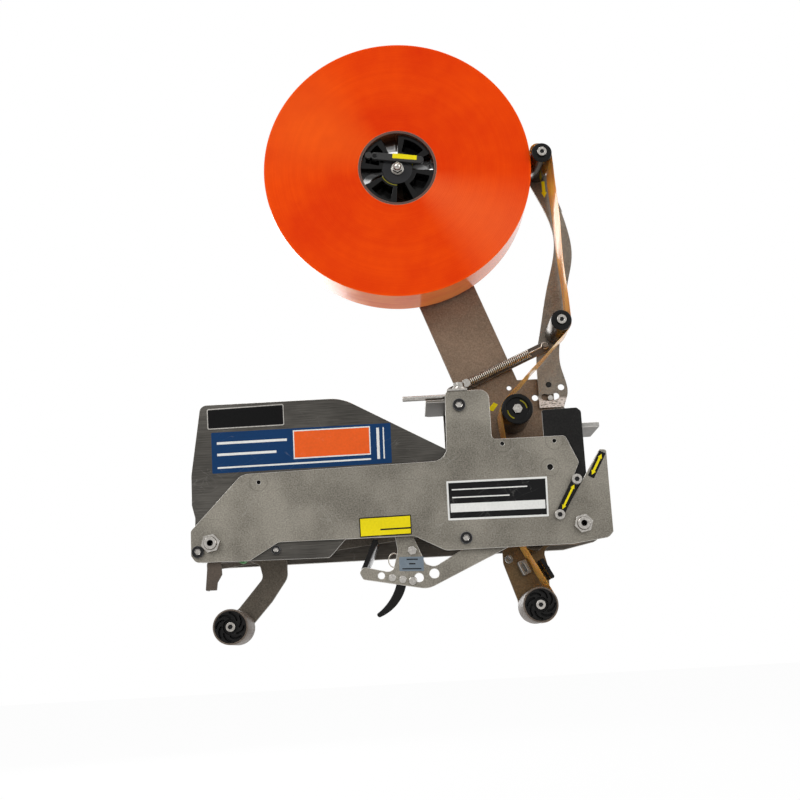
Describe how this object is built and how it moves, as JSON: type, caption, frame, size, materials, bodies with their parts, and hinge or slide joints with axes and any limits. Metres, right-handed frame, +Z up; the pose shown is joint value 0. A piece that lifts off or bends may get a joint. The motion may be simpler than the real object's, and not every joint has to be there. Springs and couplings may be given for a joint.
{
  "type": "tape applicator",
  "caption": "Packaging-line tape head: two side plates with linked apply and buffing roller arms, sprung knife arm, film guides and a full tape roll on a drum.",
  "frame": {"origin": "midway between the two mounting shafts, on the plane of their front ends", "axes": "+X towards the apply arm's side, +Y from the front plate to the rear plate, +Z up towards the roll"},
  "size_m": [0.406, 0.096, 0.6168],
  "materials": {
    "plate_steel": "bead-blasted",
    "cover_steel": "brushed",
    "arm_steel": "satin",
    "bracket_steel": "stippled",
    "bright_steel": "polished",
    "black_paint": "matte",
    "black_plastic": "satin",
    "tyre_rubber": "satin",
    "tape_film": "wound film",
    "film_clear": "translucent film",
    "cardboard": "fibrous",
    "brown_steel": "satin",
    "green_rubber": "matte",
    "spring_wire": "drawn",
    "blade_steel": "ground"
  },
  "bodies": {
    "frame": {"front_plate": "plate_steel", "cover_plate": "cover_steel", "rear_plate": "plate_steel", "tie_rods": "bright_steel", "pivot_shafts": "bright_steel", "pivot_nuts": "bright_steel", "plate_screws": "bright_steel", "rear_screws": "bright_steel", "top_tie_plate": "plate_steel", "top_clip": "bright_steel", "hanger_rod": "bright_steel", "clip_bolt": "bright_steel", "tape_guard": "black_paint", "side_ledge": "arm_steel", "drum_bracket": "bracket_steel", "drum_spindle": "bright_steel", "spindle_nut": "bright_steel", "bracket_pins": "bright_steel", "box_hook": "brown_steel", "arm_bumper": "green_rubber", "knife_pins": "bright_steel", "tension_shaft": "bright_steel", "unwind_spring": "spring_wire", "knife_spring": "spring_wire", "film_upper": "film_clear", "film_lower": "film_clear"},
    "apply_arm_body": {"apply_arm": "arm_steel", "apply_axles": "bright_steel", "finger_bracket": "arm_steel", "tape_fingers": "black_plastic", "film_apply": "film_clear"},
    "apply_roller": {"apply_roller_body": "black_plastic", "apply_tyre": "tyre_rubber"},
    "wrap_roller_body": {"wrap_roller": "black_plastic"},
    "buff_arm_body": {"buff_arm": "arm_steel", "buff_axle": "bright_steel"},
    "buff_roller": {"buff_roller_body": "black_plastic", "buff_tyre": "tyre_rubber"},
    "link": {"link_bar": "arm_steel"},
    "knife": {"knife_arm": "arm_steel", "knife_screws": "bright_steel", "knife_holder": "black_plastic", "knife_blade": "blade_steel", "knife_tail": "black_plastic"},
    "drum": {"tape_drum": "black_plastic", "tape_core": "cardboard", "tape_roll": "tape_film"},
    "drum_lock": {"lock_lever": "black_plastic"},
    "follower": {"unwind_arm": "arm_steel", "guide_axles": "bright_steel", "film_guides": "film_clear"},
    "guide_1": {"guide_roller_1": "black_plastic"},
    "guide_2": {"guide_roller_2": "black_plastic"},
    "tension": {"tension_roller": "black_plastic"},
    "spring_bar_body": {"spring_bar": "arm_steel"},
    "latch": {"latch_bar": "black_paint"}
  },
  "joints": [
    {"name": "roll_spin", "type": "hinge", "parent": "frame", "child": "drum", "pos_m": [0.02, 0.05, 0.3815], "axis": [0, 1, 0], "continuous": true},
    {"name": "lock_lever_turn", "type": "hinge", "parent": "drum", "child": "drum_lock", "pos_m": [-0.003, 0.027, 0.3959], "axis": [0, 1, 0], "range_deg": [-20, 0]},
    {"name": "unwind_arm_swing", "type": "hinge", "parent": "frame", "child": "follower", "pos_m": [0.1657, 0.0785, 0.1532], "axis": [0, 1, 0], "range_deg": [0, 22], "stiffness_Nm_per_rad": 1.6, "springref_deg": -20.05, "deforming": ["film_upper", "unwind_spring"]},
    {"name": "spring_bar_swing", "type": "hinge", "parent": "follower", "child": "spring_bar_body", "pos_m": [0.1641, 0.075, 0.1934], "axis": [0, 1, 0], "range_deg": [-17.6, 0]},
    {"name": "guide_roller_1_spin", "type": "hinge", "parent": "follower", "child": "guide_1", "pos_m": [0.17028, 0.048, 0.38754], "axis": [0, 1, 0], "continuous": true},
    {"name": "guide_roller_2_spin", "type": "hinge", "parent": "follower", "child": "guide_2", "pos_m": [0.1763, 0.048, 0.207], "axis": [0, 1, 0], "continuous": true},
    {"name": "tension_roller_spin", "type": "hinge", "parent": "frame", "child": "tension", "pos_m": [0.1255, 0.048, 0.1183], "axis": [0, 1, 0], "continuous": true},
    {"name": "apply_arm_swing", "type": "hinge", "parent": "frame", "child": "apply_arm_body", "pos_m": [0.179, 0.048, 0], "axis": [0, 1, 0], "range_deg": [0, 46], "deforming": ["film_lower"]},
    {"name": "apply_roller_spin", "type": "hinge", "parent": "apply_arm_body", "child": "apply_roller", "pos_m": [0.134, 0.048, -0.074], "axis": [0, 1, 0], "continuous": true},
    {"name": "wrap_roller_spin", "type": "hinge", "parent": "apply_arm_body", "child": "wrap_roller_body", "pos_m": [0.133, 0.05, -0.012], "axis": [0, 1, 0], "continuous": true},
    {"name": "buff_arm_swing", "type": "hinge", "parent": "frame", "child": "buff_arm_body", "pos_m": [-0.179, 0.048, 0], "axis": [0, 1, 0], "range_deg": [-62.1, 0]},
    {"name": "buff_roller_spin", "type": "hinge", "parent": "buff_arm_body", "child": "buff_roller", "pos_m": [-0.1643, 0.048, -0.0793], "axis": [0, 1, 0], "continuous": true},
    {"name": "link_swing", "type": "hinge", "parent": "apply_arm_body", "child": "link", "pos_m": [0.16962, 0.0822, 0.02209], "axis": [0, 1, 0], "range_deg": [-46, 0]},
    {"name": "knife_arm_swing", "type": "hinge", "parent": "frame", "child": "knife", "pos_m": [0.11, 0.0157, -0.003], "axis": [0, 1, 0], "range_deg": [0, 24], "stiffness_Nm_per_rad": 0.6, "springref_deg": -22.92, "deforming": ["knife_spring"]},
    {"name": "latch_slide", "type": "slide", "parent": "frame", "child": "latch", "axis": [0.4962, 0, 0.8682], "range_m": [0, 0.014]}
  ],
  "couplings": [
    {"joint": "guide_roller_1_spin", "follows": "roll_spin", "ratio": -13.238},
    {"joint": "guide_roller_2_spin", "follows": "roll_spin", "ratio": -13.238},
    {"joint": "tension_roller_spin", "follows": "roll_spin", "ratio": 8.9677},
    {"joint": "wrap_roller_spin", "follows": "roll_spin", "ratio": 13.9},
    {"joint": "apply_roller_spin", "follows": "roll_spin", "ratio": -8.1765},
    {"joint": "spring_bar_swing", "follows": "unwind_arm_swing", "ratio": -0.7995},
    {"joint": "buff_arm_swing", "follows": "apply_arm_swing", "ratio": -1.35},
    {"joint": "link_swing", "follows": "apply_arm_swing", "ratio": -1}
  ]
}
